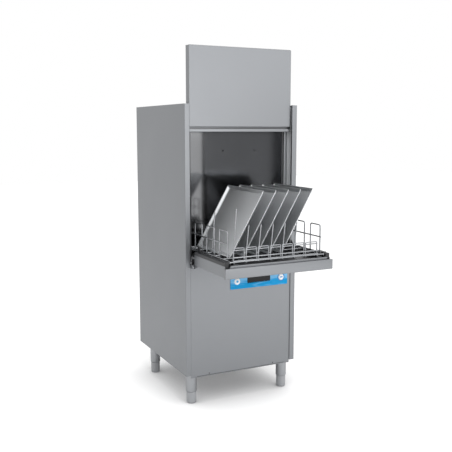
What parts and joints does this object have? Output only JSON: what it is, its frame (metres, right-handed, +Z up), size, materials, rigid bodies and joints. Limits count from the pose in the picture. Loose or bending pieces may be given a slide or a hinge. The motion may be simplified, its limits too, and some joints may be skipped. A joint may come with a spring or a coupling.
{
  "type": "front-loading utensil washer",
  "caption": "Free-standing front-loading utensil and tray washer with a sliding upper door, a fold-down lower leaf, a wire rack of leaning trays and a wash chamber, on legs.",
  "frame": {"origin": "on the floor, under the middle of the box that holds the machine with its lower leaf folded down", "axes": "+Z up, -Y towards the user at the machine's front, +X to the user's right"},
  "size_m": [0.6, 1.016, 1.6985],
  "materials": {
    "panel_steel": "fine brushed stainless sheet",
    "chamber_steel": "bright rolled stainless sheet",
    "tray_steel": "polished",
    "wire_steel": "electropolished round wire",
    "door_aluminium": "satin",
    "cast_aluminium": "as cast",
    "black_metal": "black coated steel",
    "black_plastic": "moulded",
    "grey_plastic": "moulded",
    "black_rubber": "extruded",
    "blue_film": "printed film",
    "display": "dark window",
    "white_plastic": "moulded"
  },
  "bodies": {
    "cabinet": {"left_side_panel": "panel_steel", "right_side_panel": "panel_steel", "back_panel": "panel_steel", "roof_panel": "panel_steel", "floor_pan": "panel_steel", "lower_front_panel": "panel_steel", "control_fascia": "blue_film", "display_window": "display", "control_box": "black_plastic", "left_door_guide": "chamber_steel", "right_door_guide": "chamber_steel", "left_door_seal": "black_rubber", "right_door_seal": "black_rubber", "left_hinge_bracket": "black_metal", "right_hinge_bracket": "black_metal", "chamber_left_wall": "chamber_steel", "chamber_right_wall": "chamber_steel", "chamber_back_wall": "chamber_steel", "chamber_roof": "chamber_steel", "wash_tank": "chamber_steel", "tank_strainer": "chamber_steel", "left_rack_rail": "chamber_steel", "right_rack_rail": "chamber_steel", "wash_pump": "cast_aluminium", "riser_pipe": "grey_plastic", "upper_arm_hub": "cast_aluminium", "lower_arm_hub": "cast_aluminium", "rinse_boiler": "chamber_steel", "front_left_leg": "panel_steel", "front_right_leg": "panel_steel", "back_left_leg": "panel_steel", "back_right_leg": "panel_steel", "front_left_foot": "grey_plastic", "front_right_foot": "grey_plastic", "back_left_foot": "grey_plastic", "back_right_foot": "grey_plastic"},
    "upper_door": {"upper_door_skin": "panel_steel", "upper_door_liner": "chamber_steel", "upper_door_grip": "door_aluminium", "left_door_shoe": "black_plastic", "right_door_shoe": "black_plastic"},
    "lower_leaf": {"leaf_skin": "panel_steel", "leaf_liner": "chamber_steel", "leaf_handle": "door_aluminium", "leaf_left_rail": "black_plastic", "leaf_right_rail": "black_plastic"},
    "loaded_rack": {"rack_base_grid": "wire_steel", "rack_front_comb": "wire_steel", "rack_rear_comb": "wire_steel", "rack_left_fence": "wire_steel", "rack_right_fence": "wire_steel", "tray_1": "tray_steel", "tray_2": "tray_steel", "tray_3": "tray_steel", "tray_4": "tray_steel", "tray_5": "tray_steel"},
    "upper_arm": {"upper_wash_arm": "chamber_steel"},
    "lower_arm": {"lower_wash_arm": "chamber_steel"},
    "start_key": {"start_button": "white_plastic"},
    "program_key": {"program_button": "white_plastic"}
  },
  "joints": [
    {"name": "lower_leaf_fold", "type": "hinge", "parent": "cabinet", "child": "lower_leaf", "pos_m": [0, -0.16, 0.683], "axis": [-1, 0, 0], "range_deg": [0, 90]},
    {"name": "upper_door_slide", "type": "slide", "parent": "cabinet", "child": "upper_door", "axis": [0, 0, -1], "range_m": [0, 0.274]},
    {"name": "rack_lift_off", "type": "slide", "parent": "cabinet", "child": "loaded_rack", "axis": [0, -0.7372, 0.6757], "range_m": [0, 0.814]},
    {"name": "upper_arm_spin", "type": "hinge", "parent": "cabinet", "child": "upper_arm", "pos_m": [0, 0.1545, 1.346], "axis": [0, 0, 1], "continuous": true},
    {"name": "lower_arm_spin", "type": "hinge", "parent": "cabinet", "child": "lower_arm", "pos_m": [0, 0.1545, 0.706], "axis": [0, 0, 1], "continuous": true},
    {"name": "start_button_press", "type": "slide", "parent": "cabinet", "child": "start_key", "axis": [0, 1, 0], "range_m": [0, 0.002], "stiffness_N_per_m": 300, "springref_m": -0.002},
    {"name": "program_button_press", "type": "slide", "parent": "cabinet", "child": "program_key", "axis": [0, 1, 0], "range_m": [0, 0.002], "stiffness_N_per_m": 300, "springref_m": -0.002}
  ],
  "couplings": [
    {"joint": "upper_door_slide", "follows": "lower_leaf_fold", "m_per_rad": 0.1744},
    {"joint": "rack_lift_off", "follows": "lower_leaf_fold", "m_per_rad": 0.518}
  ]
}
